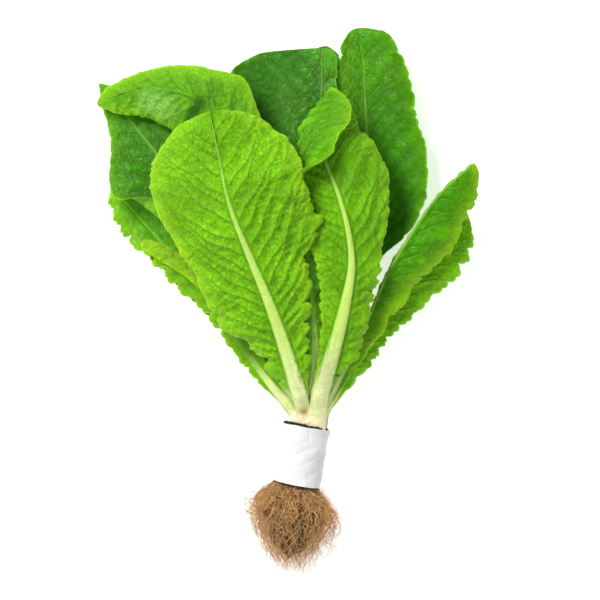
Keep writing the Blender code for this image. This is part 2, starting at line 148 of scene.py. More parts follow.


# From the lowest leaf to the one on top.
# A leaf's painted light and shade make it paler where light falls on it, with sheen on glossy leaves, and
# darker in its hollows, folds and where other leaves shade it.
LEAVES = [
    Leaf(
        "rear_middle",
        [(2, 7, 8.2, 3.5, 3.5), (3, 45, 4, 14, 14), (4, 85, 0, 24, 24), (6, 130, 0, 30, 30),
         (9, 180, 0, 30, 28), (11, 225, 2, 24, 20), (11, 263, 6, 16, 11)],
        22, (-4, 12), (-4, 12), inner=(50, 122, 12), margin=(78, 150, 22), blister=1.3,
        teeth=[("left", 0.5, 1, 2.0, 11), ("right", 0.5, 1, 2.0, 10)],
    ),
    Leaf(
        "rear_left",
        [(-5.5, 8, 8.2, 3, 3), (-20, 45, 4, 10, 11), (-36, 85, 0, 16, 22), (-56, 125, 0, 20, 27),
         (-77, 163, 0, 22, 25), (-92, 190, 2, 20, 20)],
        24, (0, 10), (0, 10), inner=(62, 130, 24), grid=HIDDEN_GRID, teeth=both_sides(0.1, 1, 1.5, 10),
    ),
    Leaf(
        "rear_right",
        [(9.6, 6.2, 7.8, 2.4, 2.4), (21, 45, 3, 7, 9), (28, 80, 2, 12, 13), (33, 108, 1, 13, 13),
         (36, 130, 2, 10, 10)],
        16, (0, 12), (0, 12), inner=(62, 130, 24), grid=HIDDEN_GRID, teeth=both_sides(0.1, 1, 1.5, 9),
    ),
    Leaf(
        "right_tall",
        [(7.5, 5.8, 13, 3, 3), (14, 27, 14, 6, 6), (20, 49, 13, 9, 9), (33, 98, 10, 14, 13),
         (37, 119, 9, 19, 16), (41, 140, 9, 24, 34), (42, 157, 9, 27, 43), (42, 177, 9, 30, 44),
         (39, 217, 13, 27, 39), (37, 252, 20, 18, 31), (33, 275, 24, 13, 20)],
        12, (10, 30), (8, 32), inner=(73, 153, 0), margin=(120, 190, 8), blister=1.5,
        ruffle=2.6, teeth=[("right", 0.45, 0.97, 1.6, 8.5), ("left", 0.3, 1, 0.9, 9)], shine=0.32,
        pale=(120, 190, 30), light_and_shade_patches=[(0.75, -0.55, 0.3, 0.5, 0.6), (0.45, 0.3, 0.12, 0.8, -0.6),
        (0.9, 0.5, 0.1, 0.4, 0.3)],
    ),
    Leaf(
        "back_middle",
        [(0.5, 7, 13, 3.2, 3.2), (0, 63, 14, 15, 14), (1, 119, 14, 34, 20), (4, 168, 16, 52, 22),
         (6, 211, 18, 62, 20), (8, 237, 21, 66, 16), (8, 250, 22, 62, 15), (8, 261, 23, 34, 12)],
        5, (6, 24), (8, 24), inner=(68, 148, 0), margin=(104, 178, 16), blister=1.8,
        ruffle=2.6, shine=0.45, teeth=both_sides(0.5, 1, 1.0, 9),
        bumps=[("right", 0.92, 0.08, -5), ("left", 0.88, 0.02, 2)], pale=(126, 190, 70),
        light_and_shade_patches=[(0.8, -0.35, 0.12, 0.3, 0.35), (0.85, -0.8, 0.1, 0.2, -0.3), (0.7, 0.2, 0.05, 0.5, -0.5)],
    ),
    Leaf(
        "left_lower",
        [(-6.8, 9.2, 12.8, 2.8, 2.8), (-32, 41, 14, 7, 9), (-70, 86, 15, 10, 22), (-101, 121, 16, 14, 28),
         (-123, 145, 17, 15, 24), (-139, 163, 18, 7, 14)],
        12, (4, 24), (4, 18), inner=(108, 192, 22), margin=(160, 214, 30), glow=0.5,
        blister=2.0, ruffle=2.2, teeth=[("left", 0.1, 1, 5.4, 14), ("right", 0.3, 1, 1.2, 10)],
    ),
    Leaf(
        "left_outer",
        [(-13, 7, 14.5, 2.6, 2.6), (-28, 25, 19, 5, 6), (-49, 53, 23, 8, 13), (-68, 80, 24, 9, 19),
         (-86, 101, 24, 10, 22), (-104, 116, 24, 9, 22), (-119, 125, 22, 4, 10)],
        9, (-8, -24), (4, 14), turn_over=("right", 0.5, 0.66, 0.35, 0.2, 0.3, 165), inner=(92, 176, 6),
        outer=(140, 194, 26), margin=(156, 212, 22), shine=0.2, glow=0.5, slot="leaf_mid",
        rib=(4.0, 2.4, 1.2, 0.5), ruffle=3.0, blister=2.0, rib_fade=(0.12, 0.34, 0.15),
        teeth=[("left", 0.12, 0.96, 6.0, 15), ("right", 0.3, 1, 1.6, 9)],
    ),
    Leaf(
        "right_outer",
        [(10.5, 5.5, 17.5, 2.8, 2.8), (29, 38, 17, 6, 9), (47, 65, 17, 9, 13), (62, 88, 17, 12, 19),
         (80, 112, 18, 15, 25), (97, 132, 20, 15, 18), (109, 147, 22, 10, 8)],
        12, (-4, -10), (-2, -18), up="outer", outer=(132, 212, 10), margin=(142, 212, 18),
        slot="leaf_mid", rib=(3.4, 2.0, 1.2, 0.5), ruffle=2.0, blister=1.8, shine=0.2,
        teeth=[("right", 0.12, 0.95, 5.0, 14), ("left", 0.3, 1, 1.2, 9)],
    ),
    Leaf(
        "left_middle",
        [(-8.2, 9, 17.6, 2.8, 2.8), (-28, 49, 28, 10, 11), (-56, 108, 34, 20, 24), (-84, 154, 36, 34, 28),
         (-108, 187, 35, 41, 26), (-124, 207, 32, 20, 20), (-148, 236, 28, 3, 4)],
        16, (2, 10), (6, 16), turn_over=("left", 0.74, 0.66, 0.7, 0.7, 0.12, 160), inner=(72, 150, 0),
        margin=(124, 196, 10), blister=1.6, shine=0.28, pale=(140, 200, 60),
        light_and_shade_patches=[(0.5, -0.3, 0.06, 0.6, 0.3), (0.62, 0.4, 0.05, 0.5, 0.3), (0.45, 0.6, 0.1, 0.4, -0.4)],
        teeth=[("left", 0.2, 1, 1.2, 9), ("right", 0.2, 1, 1.0, 9)],
    ),
    Leaf(
        "heart_back",
        [(0.3, 7.1, 17.7, 3.4, 3.4), (-3, 45, 27, 10, 10), (-8, 85, 36, 18, 18), (-16, 125, 44, 22, 22),
         (-22, 160, 50, 18, 18)],
        22, (8, 30), (8, 30), inner=(95, 165, 40), grid=HIDDEN_GRID, slot="leaf_mid",
        teeth=both_sides(0.1, 1, 1.5, 10),
    ),
    Leaf(
        "right_folded",
        [(8.3, 5.7, 22.4, 2.8, 2.8), (22, 32, 27, 4, 7), (36, 60, 31, 5, 13), (46, 84, 34, 6, 18),
         (56, 106, 37, 7, 26), (70, 129, 41, 8, 32), (89, 156, 46, 8, 29), (115, 180, 46, 5, 14)],
        16, (-60, -110), (14, -50), inner=(84, 172, 0), margin=(156, 214, 10),
        slot="leaf_mid", rib=(3.2, 1.8, 1.2, 0.6), ruffle=2.4, blister=1.8, glow=0.75, shine=0.14,
        light_and_shade_patches=[(0.4, 0.5, 0.12, 0.35, -0.5), (0.93, 0.3, 0.06, 0.3, -0.2)],
        teeth=[("right", 0.25, 0.97, 2.6, 10)],
    ),
    Leaf(
        "left_upper",
        [(-7, 8.4, 22.6, 2.8, 2.8), (-19, 63, 44, 13, 13), (-34, 119, 56, 22, 24), (-48, 168, 64, 32, 28),
         (-60, 203, 68, 36, 29), (-82, 226, 66, 36, 23), (-114, 231, 56, 24, 14), (-149, 221, 44, 7, 7)],
        14, (-4, -42), (-2, -20), up="outer", outer=(108, 184, 18), margin=(148, 210, 20),
        shine=0.2, glow=0.5, pale=(136, 196, 80), rib_fade=(0.4, 0.7, 0.0), grid=FRONT_GRID,
        light_and_shade_patches=[(0.86, -0.45, 0.06, 0.5, 1.0), (0.745, -0.3, 0.02, 0.5, -0.9),
        (0.85, 0.5, 0.15, 0.4, -0.35), (0.66, 0.5, 0.06, 0.4, 0.2)], slot="leaf_mid",
        rib=(4.0, 3.0, 1.6, 0.5), ruffle=2.0, blister=2.0, teeth=both_sides(0.3, 1, 0.7, 7),
        bumps=[("right", 0.72, 0.035, 7), ("right", 0.62, 0.05, -4)],
    ),
    Leaf(
        "heart_front",
        [(0.7, 7.5, 22.5, 3, 3), (4, 36, 31, 5, 7), (3, 66, 42, 12, 12), (0, 100, 50, 16, 16),
         (-4, 130, 56, 14, 14)],
        20, (6, 24), (6, 24), inner=(100, 184, 16), rib=(4.2, 3.2, 1.4, 0.6),
        teeth=both_sides(0.1, 1, 1.5, 8),
    ),
    Leaf(
        "front_middle",
        [(4.8, 6.2, 27.4, 3.8, 3.8), (8, 22, 33, 6, 7), (17, 51, 46, 10, 17), (25, 83, 56, 18, 19),
         (29, 110, 61, 25, 22), (27, 130, 63, 30, 28), (20, 157, 62, 34, 39), (10, 184, 59, 42, 38),
         (7, 203, 56, 49, 31), (10, 220, 52, 33, 25), (15, 233, 49, 20, 18)],
        12, (-2, -14), (-4, -30), turn_over=("left", 0.72, 0.79, 0.34, 0.05, 0.12, 176), up="outer",
        outer=(112, 184, 8), inner=(112, 200, 0), margin=(150, 210, 26), shine=0.18,
        grid=FRONT_GRID, slot="leaf_light", rib=(7.0, 4.8, 1.9, 0.6), ruffle=2.0, blister=2.4,
        teeth=[("right", 0.08, 0.5, 5.0, 10), ("left", 0.08, 0.5, 2.2, 8), ("right", 0.5, 1, 1.1, 6)],
    ),
    Leaf(
        "front_left",
        [(-4.2, 7.8, 27.6, 4, 4), (-15, 43, 48, 15, 15), (-29, 83, 66, 41, 34), (-42, 114, 76, 43, 53),
         (-57, 153, 84, 52, 58), (-64, 186, 86, 56, 58), (-70, 215, 82, 56, 58)],
        54, (-4, -30), (-2, -30), up="outer", outer=(126, 200, 12), margin=(160, 216, 30), glow=0.5,
        shine=0.18, stain=0.85, grid=FRONT_GRID, slot="leaf_light", rib=(5.8, 4.4, 2.3, 0.3),
        ruffle=3.0, blister=2.5, light_and_shade_patches=[(0.5, 0.0, 0.25, 0.5, -0.16)],
        teeth=[("left", 0.08, 0.42, 6.5, 15), ("right", 0.1, 0.6, 6.0, 13), ("left", 0.46, 1, 0.7, 6),
        ("right", 0.6, 1, 0.7, 6)], bumps=[("right", 0.53, 0.05, 4), ("right", 0.45, 0.02, -4)],
    ),
]


# ---- the CAD model's leaf surface ----


def distances(points):
    """How far along the line through the points each one lies."""
    steps = np.linalg.norm(np.diff(points, axis=0), axis=1)
    return np.concatenate([[0], np.cumsum(steps)])


def unit(vectors, spare=0.0):
    """The vectors at length 1. A small spare keeps one without a length from being divided by 0."""
    return vectors / (np.linalg.norm(vectors, axis=1)[:, None] + spare)


def through(rows, t):
    """A smooth curve through the rows of a table, spaced by the distances between their points."""
    rows = np.array(rows, float)
    knots = distances(rows[:, :3])
    length = knots[-1]
    slopes = np.gradient(rows, knots, axis=0)
    at = np.clip(t, 0, 1) * length
    k = np.clip(np.searchsorted(knots, at, side="right") - 1, 0, len(rows) - 2)
    span = knots[k + 1] - knots[k]
    s = ((at - knots[k]) / span)[:, None]
    span = span[:, None]
    placed = (
        (2 * s**3 - 3 * s**2 + 1) * rows[k]
        + (s**3 - 2 * s**2 + s) * span * slopes[k]
        + (3 * s**2 - 2 * s**3) * rows[k + 1]
        + (s**3 - s**2) * span * slopes[k + 1]
    )
    return placed, length


def smooth_step(low, high, x):
    """From 0 at low to 1 at high, which may be the smaller of the two."""
    t = np.clip((x - low) / (high - low), 0, 1)
    return t * t * (3 - 2 * t)


def in_cell(value_at, i, j, a, b):
    """A value inside cell i, j, at shares a and b of the way across, from those at its four corners."""
    low = value_at(i, j) * (1 - b) + value_at(i, j + 1) * b
    high = value_at(i + 1, j) * (1 - b) + value_at(i + 1, j + 1) * b
    return low * (1 - a) + high * a


def rounded_tip(leaf, t, length, least):
    """The share of the reach that is left in the round end, and no less than least."""
    past = np.clip((t * length - (length - leaf.tip)) / leaf.tip, 0, 1)
    return np.maximum(np.sqrt(1 - past**2), least)


def across(leaf, t, v, reach):
    """How far sideways and upwards a point lies from the midrib, along the blade's curved section."""
    right = (v > 0)[:, None]
    share = np.linspace(0, 1, SECTION_STEPS + 1)[None, :]
    start = np.where(right, leaf.right[0], leaf.left[0])
    end = np.where(right, leaf.right[1], leaf.left[1])
    slope = start + (end - start) * share
    if leaf.turn_over:
        side, low, high, begin, begin_tip, width, angle = leaf.turn_over
        on_side = right == (side == "right")
        amount = smooth_step(low, high, t)[:, None]
        begin = begin + (begin_tip - begin) * np.clip((t - high) / (1 - high), 0, 1)[:, None]
        slope = slope + np.where(on_side, angle * amount * smooth_step(begin, begin + width, share), 0)
    slope = np.radians(slope)
    middle = (slope[:, 1:] + slope[:, :-1]) / 2
    zero = np.zeros((len(v), 1))
    out = np.hstack([zero, np.cumsum(np.cos(middle), axis=1)]) / SECTION_STEPS
    up = np.hstack([zero, np.cumsum(np.sin(middle), axis=1)]) / SECTION_STEPS
    place = np.abs(v) * SECTION_STEPS
    k = np.minimum(place.astype(int), SECTION_STEPS - 1)
    part = place - k
    every = np.arange(len(v))
    out = out[every, k] * (1 - part) + out[every, k + 1] * part
    up = up[every, k] * (1 - part) + up[every, k + 1] * part
    return np.sign(v) * out * reach, up * reach


def lift_at(leaf, t, v):
    """The leaf's lift off the leaves below, read from its grid of lifts."""
    if leaf.lift is None:
        return np.zeros(len(t))
    row = np.clip(t, 0, 1) * ROWS
    column = (np.clip(v, -1, 1) + 1) / 2 * COLUMNS
    i = np.minimum(row.astype(int), ROWS - 1)
    j = np.minimum(column.astype(int), COLUMNS - 1)
    a = smooth_step(0, 1, row - i)
    return in_cell(lambda k, m: leaf.lift[k, m], i, j, a, smooth_step(0, 1, column - j))


def frame_along(leaf, t):
    """The midrib's point and reaches at each t, its length, and the directions along, sideways and up."""
    row, length = through(leaf.stations, t)
    ahead, _ = through(leaf.stations, np.minimum(t + NEAR, 1))
    behind, _ = through(leaf.stations, np.maximum(t - NEAR, 0))
    along = unit((ahead - behind)[:, :3])
    side = unit(np.cross(along, [0, 0, 1.0]))
    return row, length, along, side, np.cross(side, along)


def leaf_points(leaf, t, v):
    """Points of the CAD leaf: t runs 0 to 1 from base to tip, and v -1 to 1 from left to right margin."""
    row, length, _, side, up = frame_along(leaf, t)
    reach = np.where(v > 0, row[:, 4], row[:, 3]) * rounded_tip(leaf, t, length, TIP_LEFT)
    out, rise = across(leaf, t, v, reach)
    placed = row[:, :3] + side * out[:, None] + up * rise[:, None]
    placed[:, 2] += lift_at(leaf, t, v)
    placed[:, 2] = np.maximum(placed[:, 2], thickness_at(t, v) / 2)
    return placed


def thickness_at(t, v):
    """The CAD leaf's thickness, greatest along the midrib at its base."""
    wide = 0.55 - 0.35 * np.clip(t, 0, 1)
    share = np.clip(1 - np.abs(v) / wide, 0, 1) * np.clip(1 - t / RIB_ENDS, 0, 1)
    return BLADE + (RIB - BLADE) * share


class Pile:
    """The height of the pile so far, on square cells seen from above."""

    def __init__(self):
        self.low = np.array(PILE_LOW)
        self.height = np.zeros(PILE_CELLS)

    def cells(self, points):
        index = np.floor((points[:, :2] - self.low) / CELL).astype(int)
        last = np.array(self.height.shape) - 2
        return np.clip(index, 1, last)

    def under(self, points):
        index = self.cells(points)
        around = [self.height[index[:, 0] + i, index[:, 1] + j] for i in (-1, 0, 1) for j in (-1, 0, 1)]
        return np.max(around, axis=0)

    def add(self, points, half_thickness):
        index = self.cells(points)
        np.maximum.at(self.height, (index[:, 0], index[:, 1]), points[:, 2] + half_thickness)


def blurred(grid):
    """The grid with each value drawn towards those of its four neighbours."""
    edged = np.pad(grid, 1, mode="edge")
    return (
        edged[:-2, 1:-1] + edged[2:, 1:-1] + edged[1:-1, :-2] + edged[1:-1, 2:] + 2 * edged[1:-1, 1:-1]
    ) / 6


def lay(leaf, pile):
    """Lifts the leaf until it clears the pile, as smoothly as that allows, and adds it to the pile."""
    t = np.linspace(0, 1, ROWS * DENSE + 1)
    v = np.linspace(-1, 1, COLUMNS * DENSE + 1)
    t, v = (grid.ravel() for grid in np.meshgrid(t, v, indexing="ij"))
    points = leaf_points(leaf, t, v)
    half = thickness_at(t, v) / 2
    short = pile.under(points) + LAY_GAP - (points[:, 2] - half)
    short = np.where(pile.under(points) > 0, short, 0) * smooth_step(0.02, 0.12, t)
    need = np.zeros((ROWS + 1, COLUMNS + 1))
    i = np.rint(t * ROWS).astype(int)
    j = np.rint((v + 1) / 2 * COLUMNS).astype(int)
    np.maximum.at(need, (i, j), short)
    lift = need.copy()
    for _ in range(LAY_ROUNDS):
        lift = np.maximum(need, blurred(lift))
        lift[0] = 0
    leaf.lift = lift
    pile.add(leaf_points(leaf, t, v), half)


# ---- noise ----


def lattice(i, j, seed):
    """A fixed random number from -1 to 1 for each whole pair."""
    mixed = (i * 374761393 + j * 668265263 + seed * 1274126177) & 0xFFFFFFFF
    mixed = ((mixed ^ (mixed >> 13)) * 1103515245) & 0xFFFFFFFF
    mixed = (mixed ^ (mixed >> 16)) & 0xFFFF
    return mixed / 32767.5 - 1


def noise(x, y, seed):
    """Smooth noise from -1 to 1 with one cell to a unit."""
    i = np.floor(x).astype(np.int64)
    j = np.floor(y).astype(np.int64)
    a = smooth_step(0, 1, x - i)
    return in_cell(lambda k, m: lattice(k, m, seed), i, j, a, smooth_step(0, 1, y - j))


def wander(x, y, seed):
    """Two layers of noise. Each use of noise below has a seed of its own."""
    return noise(x, y, seed) * 0.7 + noise(x * 2.1 + 5, y * 2.1 + 9, seed + 1) * 0.3


# ---- veins ----

VEIN_CELL = 0.5
VEIN_STEP = 0.5
VEIN_STEPS = 400
VEIN_ANGLE = 66
ANGLE_LOSS = 24
VEIN_GAP = 7.5
GAP_GAIN = 5.5
FORK_ANGLE = math.radians(16)
FORKING_POINTS = 30
VEIN_ROOM = 6


def side_veins(length, reach_of, rng):
    """The side veins and their forks as (points (s, w), strengths): s is along the midrib and w across."""
    lines = []
    for side in (-1, 1):
        s = length * 0.05 + (4 if side > 0 else 0)
        while s < length * 0.95:
            share = s / length
            angle = math.radians(VEIN_ANGLE - ANGLE_LOSS * share + rng.uniform(-7, 7))
            line = trace((s, 0), angle, side, length, reach_of, rng, rng.uniform(0.003, 0.008))
            lines.append((line, np.linspace(1, 0.35, len(line))))
            if len(line) > FORKING_POINTS:
                k = int(len(line) * rng.uniform(0.45, 0.65))
                fork = trace(line[k], angle + FORK_ANGLE, side, length, reach_of, rng, -0.002)
                lines.append((fork, np.linspace(0.6, 0.25, len(fork))))
            s += (VEIN_GAP + GAP_GAIN * share) * rng.uniform(0.7, 1.3)
    return lines


def trace(start, angle, side, length, reach_of, rng, bend, most=VEIN_STEPS):
    """A line that leaves its start at an angle from the midrib and bends towards the tip as it goes."""
    s, w = start
    points = [(s, w)]
    sway = rng.uniform(0, 6)
    for step in range(most):
        angle -= bend * VEIN_STEP
        turn = angle + 0.16 * math.sin(sway + step * VEIN_STEP / 4.5)
        s += math.cos(turn) * VEIN_STEP
        w += side * math.sin(turn) * VEIN_STEP
        points.append((s, w))
        if s > length - 1 or abs(w) > reach_of(s, side) * 0.985:
            break
    return np.array(points)


def cross_veins(lines, length, reach_of, rng):
    """The finer veins that leave the side veins on both sides by turns."""
    found = []
    for line, strength in lines:
        k = int(rng.uniform(6, 14))
        turn = 1
        while k < len(line) - 4:
            ahead = line[min(k + 3, len(line) - 1)] - line[k - 3]
            side = 1 if line[k][1] >= 0 else -1
            angle = math.atan2(abs(ahead[1]), ahead[0]) + turn * math.radians(rng.uniform(55, 85))
            most = int(rng.uniform(8, 22))
            branch = trace(line[k], angle, side, length, reach_of, rng, 0.02 * turn, most)
            found.append((branch, np.linspace(0.9, 0.4, len(branch)) * strength[k] ** 0.5))
            turn = -turn
            k += int(rng.uniform(6, 13))
    return found


class VeinMap:
    """How near each cell of the flat leaf is to a vein, and how strong that vein is."""

    def __init__(self, lines, low, shape, width, most):
        self.low = low
        points = np.concatenate([line for line, _ in lines])
        strength = np.concatenate([force for _, force in lines])
        reach = int(most / VEIN_CELL) + 1
        offset = np.arange(-reach, reach + 1)
        di, dj = (grid.ravel() for grid in np.meshgrid(offset, offset, indexing="ij"))
        cell = np.floor((points - low) / VEIN_CELL).astype(int)
        i = cell[:, :1] + di
        j = cell[:, 1:] + dj
        off_s = (i + 0.5) * VEIN_CELL + low[0] - points[:, :1]
        off_w = (j + 0.5) * VEIN_CELL + low[1] - points[:, 1:]
        gap = np.hypot(off_s, off_w)
        inside = (i >= 0) & (j >= 0) & (i < shape[0]) & (j < shape[1]) & (gap < most)
        ridge = strength[:, None] * np.exp(-((gap / width) ** 2))
        self.away = np.full(shape, float(most))
        self.ridge = np.zeros(shape)
        np.minimum.at(self.away, (i[inside], j[inside]), gap[inside])
        np.maximum.at(self.ridge, (i[inside], j[inside]), ridge[inside])

    def read(self, grid, s, w):
        x = (s - self.low[0]) / VEIN_CELL - 0.5
        y = (w - self.low[1]) / VEIN_CELL - 0.5
        i = np.clip(np.floor(x).astype(int), 0, grid.shape[0] - 2)
        j = np.clip(np.floor(y).astype(int), 0, grid.shape[1] - 2)
        a = np.clip(x - i, 0, 1)
        return in_cell(lambda k, m: grid[k, m], i, j, a, np.clip(y - j, 0, 1))


def vein_maps(leaf, length):
    """The maps of the leaf's side veins and of the finer ones between them."""
    rng = np.random.default_rng(leaf.seed)
    stations = np.array(leaf.stations, float)
    knots = distances(stations[:, :3])

    def reach_of(at, which):
        open_width = np.interp(at, knots, stations[:, 4 if which > 0 else 3])
        past = min(max((at - (length - leaf.tip)) / leaf.tip, 0), 1)
        return max(open_width * math.sqrt(1 - past**2), 0.5)

    widest = stations[:, 3:].max() + VEIN_ROOM
    low = np.array([-2.0, -widest])
    cells = (int((length + 4) / VEIN_CELL), int(2 * widest / VEIN_CELL))
    lines = side_veins(length, reach_of, rng)
    main = VeinMap(lines, low, cells, 0.75, 8)
    return main, VeinMap(cross_veins(lines, length, reach_of, rng), low, cells, 0.5, 3)


# ---- the fine leaf ----

SHEATH = 13.0
SHEATH_ROWS = 12
SHEET = 0.5
FINE_TIP_LEFT = 0.012
LEAST_HEIGHT = 0.05
NO_LENGTH = 1e-9


def lobes(x, depth, length, seed):
    """Rounded lobes with sharp notches between them along a margin, of uneven size."""
    phase = x / length + 0.55 * noise(x / (length * 1.7), np.full_like(x, 0.5), seed)
    uneven = 0.9 + 0.8 * noise(x / (length * 1.3), np.full_like(x, 7.5), seed + 3)
    big = np.abs(np.sin(np.pi * phase)) ** 0.5 - 0.7
    small = np.abs(np.sin(np.pi * phase * 2.3 + 1)) ** 0.6 - 0.6
    slow = noise(x / (length * 1.6), np.full_like(x, 3.5), seed + 5)
    return depth * (1.2 * big * uneven + 0.35 * small + 0.8 * slow)


def margin_shift(leaf, s, t, right):
    """How far the margin stands out from its smooth line."""
    shift = np.zeros_like(s)
    for side, low, high, depth, length in leaf.teeth:
        here = (right == (side == "right")) & (t > low - 0.02) & (t < high + 0.02)
        ease = smooth_step(low - 0.02, low + 0.03, t) * smooth_step(high + 0.02, high - 0.03, t)
        shift += np.where(here, lobes(s, depth, length, leaf.seed * 7 + right) * ease, 0)
    for side, centre, width, depth in leaf.bumps:
        here = right == (side == "right")
        shift += np.where(here, depth * np.exp(-(((t - centre) / width) ** 2)), 0)
    return shift


def rib_width(leaf, t):
    """Half the midrib's width in millimetres."""
    return np.interp(t, (-0.1, 0, 0.2, 0.5, 0.85, 1), (leaf.rib[0] * 1.1, *leaf.rib, leaf.rib[3] * 0.6))


def sheath_points(leaf, back, out, rise):
    """The stalk's foot going on into the crown. back runs 0 at the foot to 1 at its end."""
    row, _, along, side, up = frame_along(leaf, np.zeros(1))
    foot = row[0, :3]
    axis = np.array([ROOT_END_X, 0, AXIS_HEIGHT])
    out_from = (foot - axis) * [1, 0, 1]
    end = axis + out_from * 0.8 + [0, -SHEATH * 0.55, 0]
    bend = foot - along[0] * SHEATH * 0.4
    back = back[:, None]
    middle = foot * (1 - back) ** 2 + bend * 2 * back * (1 - back) + end * back**2
    return middle + side[0] * out[:, None] + up[0] * rise[:, None]


def leaf_grid(leaf):
    """The sheet's shape, t, v and back. Its rows are closer at the tip, and its columns at the midrib."""
    rows, columns = (count for count in leaf.grid)
    t = 1 - (1 - np.linspace(0, 1, rows)) ** 1.25
    t = np.concatenate([-np.linspace(1, 0, SHEATH_ROWS, endpoint=False), t])
    u = np.linspace(-1, 1, columns * 2 + 1)
    t, v = np.meshgrid(t, np.sign(u) * np.abs(u) ** 1.3, indexing="ij")
    return t.shape, np.maximum(t, 0).ravel(), v.ravel(), np.maximum(-t, 0).ravel()


def bulge_at(leaf, s, w, main, minor):
    """How far the blade swells between its veins."""
    swell = 1 - np.exp(-((main.read(main.away, s, w) / 3.2) ** 2))
    pucker = 1 - np.exp(-((minor.read(minor.away, s, w) / 1.5) ** 2))
    wrinkles = np.abs(wander(s / 6.5, w / 5, leaf.seed + 55)) - 0.25
    return 0.95 * swell + 0.5 * pucker + 0.6 * wrinkles


def relief_at(leaf, s, w, t, v, reach, length, blade, bulge):
    """How far the blade stands off its smooth form: blisters, slow hollows and the ruffles of its margin."""
    amount = leaf.blister * (0.7 + 0.5 * wander(s / 30, w / 30, leaf.seed + 40))
    relief = blade * amount * 0.8 * (bulge - 0.6)
    relief += blade * 1.6 * wander(s / 42, w / 26, leaf.seed + 50)
    outer_part = smooth_step(0.35, 1, np.abs(v)) ** 1.5 * smooth_step(0.06, 0.25, t)
    waves = noise(s / 15, v * 1.2, leaf.seed + 60) * 0.7 + noise(s / 7, v * 2, leaf.seed + 70) * 0.4
    relief += leaf.ruffle * outer_part * waves * smooth_step(3, 16, reach)
    return relief * smooth_step(0, 6, (1 - t) * length)


def painted_light_and_shade_at(leaf, s, w, t, v):
    """The sum of the leaf's painted light, above 0, and its painted shade, below."""
    patch = np.zeros_like(t)
    for at_t, at_v, wide_t, wide_v, force in leaf.light_and_shade_patches:
        gap = ((t - at_t) / wide_t) ** 2 + ((v - at_v) / wide_v) ** 2
        patch += force * np.exp(-gap * (1 + 0.5 * wander(s / 9, w / 9, leaf.seed + 80)))
    return patch


def fine_leaf(leaf):
    """The leaf's grid shape, outer and inner faces, what its looks need, and its places when laid flat."""
    shape, t, v, back = leaf_grid(leaf)
    right = v > 0
    row, length, _, side, up = frame_along(leaf, t)
    s = t * length
    half_rib = rib_width(leaf, t - back * 0.1)
    smooth = np.where(right, row[:, 4], row[:, 3])
    ragged = smooth + margin_shift(leaf, s, t, right) * smooth_step(2, 12, smooth)
    reach = np.maximum(ragged, half_rib * 1.05) * rounded_tip(leaf, t, length, FINE_TIP_LEFT)
    out, rise = across(leaf, t, v, reach)
    place = row[:, :3] + side * out[:, None] + up * rise[:, None]
    place[:, 2] += lift_at(leaf, t, v)
    in_sheath = back > 0
    place[in_sheath] = sheath_points(leaf, back[in_sheath], out[in_sheath], rise[in_sheath])
    w = v * reach
    grid = place.reshape(*shape, 3)
    normal = unit(np.cross(np.gradient(grid, axis=1), np.gradient(grid, axis=0)).reshape(-1, 3), NO_LENGTH)

    main, minor = vein_maps(leaf, length)
    soft = np.interp(t, (0, 0.7, 1), (5, 4, 0.4))
    off_rib = smooth_step(0, 1, (np.abs(w) - half_rib * 0.9) / soft)
    blade = off_rib * smooth_step(0.03, 0.2, t)
    vein = main.read(main.ridge, s, w) * smooth_step(0.02, 0.1, t)
    small = minor.read(minor.ridge, s, w) * blade
    bulge = bulge_at(leaf, s, w, main, minor)
    relief = relief_at(leaf, s, w, t, v, reach, length, blade, bulge)
    toward_inner = 1 if leaf.up == "inner" else -1
    place = place + normal * (relief * toward_inner)[:, None]

    # The midrib stands out on the outer face and is a shallow groove on the inner one.
    round_rib = np.sqrt(np.clip(1 - (w / (half_rib * 1.15)) ** 2, 0, 1))
    height = half_rib * np.interp(t, (0, 0.15, 0.5, 1), (0.62, 0.6, 0.55, 0.4))
    outer_side = SHEET / 2 + height * round_rib + 0.75 * vein * off_rib + 0.3 * small
    groove = 0.35 * np.exp(-((w / (half_rib * 0.7)) ** 2)) * smooth_step(0.1, 0.3, t)
    foot = 0.35 * height * round_rib * smooth_step(0.3, 0, t)
    inner_side = SHEET / 2 + foot - groove - 0.12 * vein * off_rib
    from_margin = reach * (1 - np.abs(v))
    thin = 0.35 + 0.65 * smooth_step(0, 2.5, from_margin)
    outward = normal * -toward_inner
    outer = place + outward * (outer_side * thin)[:, None]
    inner = place - outward * (inner_side * thin)[:, None]
    for face in (outer, inner):
        face[:, 2] = np.maximum(face[:, 2], LEAST_HEIGHT)

    looks = {
        # The leaf's painted light and shade, for its material.
        "patch": painted_light_and_shade_at(leaf, s, w, t, v),
        "stain": np.exp(-(((s - back * SHEATH + 0.5) / 3.6) ** 2) - ((w + 0.4) / 2.4) ** 2) * leaf.stain,
        # vein and minor also place painted shade along the veins.
        "vein": vein * off_rib,
        "minor": small,
        "rib": round_rib,
        # beside is the band along each side of the raised midrib where painted shade lies.
        "beside": np.exp(-(((np.abs(w) - half_rib * 1.15 - 0.7) / 0.9) ** 2)) * smooth_step(0.05, 0.2, t),
        # How far the blade swells, which the material turns into painted light on rises and painted shade in
        # hollows.
        "bulge": 0.5 + (bulge - 0.95) * blade,
        "edge": np.exp(-((from_margin / 1.1) ** 2)),
        "glow": np.exp(-((from_margin / 9) ** 2)) * smooth_step(0.05, 0.3, t),
        "along": t - back * 0.06,
    }
    return shape, outer, inner, looks, np.stack([s - back * SHEATH, w, np.zeros_like(w)], axis=1)


